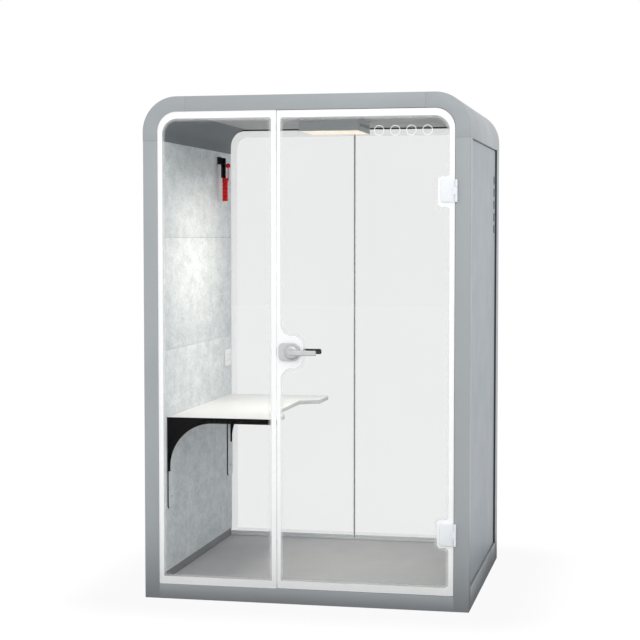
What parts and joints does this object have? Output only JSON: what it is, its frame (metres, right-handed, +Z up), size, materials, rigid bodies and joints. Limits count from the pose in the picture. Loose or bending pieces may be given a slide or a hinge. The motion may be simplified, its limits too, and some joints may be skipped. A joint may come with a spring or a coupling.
{
  "type": "acoustic office pod",
  "caption": "Free-standing acoustic pod: rounded grey frame, glazed front and rear, hinged glass door with lever lock, felt-lined sides, wall desk, ceiling light and fans.",
  "frame": {"origin": "middle of the base at ground level, midway between the front and rear faces of the frame", "axes": "+X to the right as seen from the door side, +Y from the door side to the rear, +Z up"},
  "size_m": [1.5, 1.308, 2.3],
  "materials": {
    "frame_paint": "satin grey powder coat",
    "panel_paint": "satin light grey powder coat",
    "insulation": "grey acoustic wool",
    "plywood": "plain plywood deck",
    "carpet": "grey short-pile carpet",
    "felt": "pressed light grey felt",
    "lining": "smooth grey acoustic board",
    "glass": "clear laminated glass",
    "rubber": "black seal",
    "light_body": "grey painted housing",
    "opal": "warm white opal panel",
    "dark_plastic": "dark moulded plastic",
    "white_metal": "white painted fitting",
    "satin_metal": "satin silver metal",
    "laminate": "white laminate board",
    "black_paint": "matt black powder coat",
    "white_plastic": "white moulded plastic",
    "red_plastic": "red moulded plastic"
  },
  "bodies": {
    "pod": {"front_post_left": "frame_paint", "front_post_right": "frame_paint", "rear_post_left": "frame_paint", "rear_post_right": "frame_paint", "front_bottom_rail": "frame_paint", "rear_bottom_rail": "frame_paint", "front_top_rail": "frame_paint", "rear_top_rail": "frame_paint", "roof_corner_left": "frame_paint", "roof_corner_right": "frame_paint", "side_sill_left": "frame_paint", "side_sill_right": "frame_paint", "roof_panel": "panel_paint", "side_panel_left": "panel_paint", "side_panel_right": "panel_paint", "roof_core": "insulation", "side_core_left": "insulation", "side_core_right": "insulation", "floor_deck": "plywood", "carpet": "carpet", "felt_left_lower": "felt", "felt_left_middle": "felt", "felt_left_upper": "felt", "felt_right_lower": "felt", "felt_right_middle": "felt", "felt_right_upper": "felt", "skirting_left": "lining", "skirting_right": "lining", "cove_left": "lining", "cove_right": "lining", "ceiling_panel": "lining", "light_housing": "light_body", "light_diffuser": "opal", "power_supply": "dark_plastic", "fixed_glass": "glass", "rear_glass_left": "glass", "rear_glass_right": "glass", "rear_seam_strip": "rubber", "front_seal": "rubber", "rear_seal": "rubber", "hinge_leaf_upper": "white_metal", "hinge_leaf_lower": "white_metal", "bolt_keeper": "satin_metal", "hammer_holder": "dark_plastic", "desk_top": "laminate", "desk_bracket_front": "black_paint", "desk_bracket_rear": "black_paint", "socket_plate": "white_plastic"},
    "door": {"door_glass": "glass", "hinge_clamp_upper": "white_metal", "hinge_clamp_lower": "white_metal", "lock_case_outer": "satin_metal", "lock_case_inner": "satin_metal"},
    "lever": {"lever_outer": "satin_metal", "lever_inner": "dark_plastic"},
    "bolt": {"lock_bolt": "satin_metal"},
    "hammer": {"hammer_head": "black_paint", "hammer_handle": "red_plastic"},
    "fan_left": {"fan_rotor_left": "dark_plastic"},
    "fan_right": {"fan_rotor_right": "dark_plastic"}
  },
  "joints": [
    {"name": "door_hinge", "type": "hinge", "parent": "pod", "child": "door", "pos_m": [0.6865, -0.633, 1.105], "axis": [0, 0, 1], "range_deg": [0, 110]},
    {"name": "lever_turn", "type": "hinge", "parent": "door", "child": "lever", "pos_m": [-0.052, -0.625, 1.146], "axis": [0, -1, 0], "range_deg": [0, 45]},
    {"name": "bolt_slide", "type": "slide", "parent": "door", "child": "bolt", "axis": [-1, 0, 0], "range_m": [0, 0.02]},
    {"name": "hammer_pull", "type": "slide", "parent": "pod", "child": "hammer", "axis": [1, 0, 0], "range_m": [0, 0.08]},
    {"name": "fan_left_spin", "type": "hinge", "parent": "pod", "child": "fan_left", "pos_m": [-0.045, -0.05, 2.2], "axis": [0, 0, 1], "continuous": true},
    {"name": "fan_right_spin", "type": "hinge", "parent": "pod", "child": "fan_right", "pos_m": [0.079, -0.05, 2.2], "axis": [0, 0, 1], "continuous": true}
  ],
  "couplings": [
    {"joint": "bolt_slide", "follows": "lever_turn", "m_per_rad": 0.02546}
  ]
}
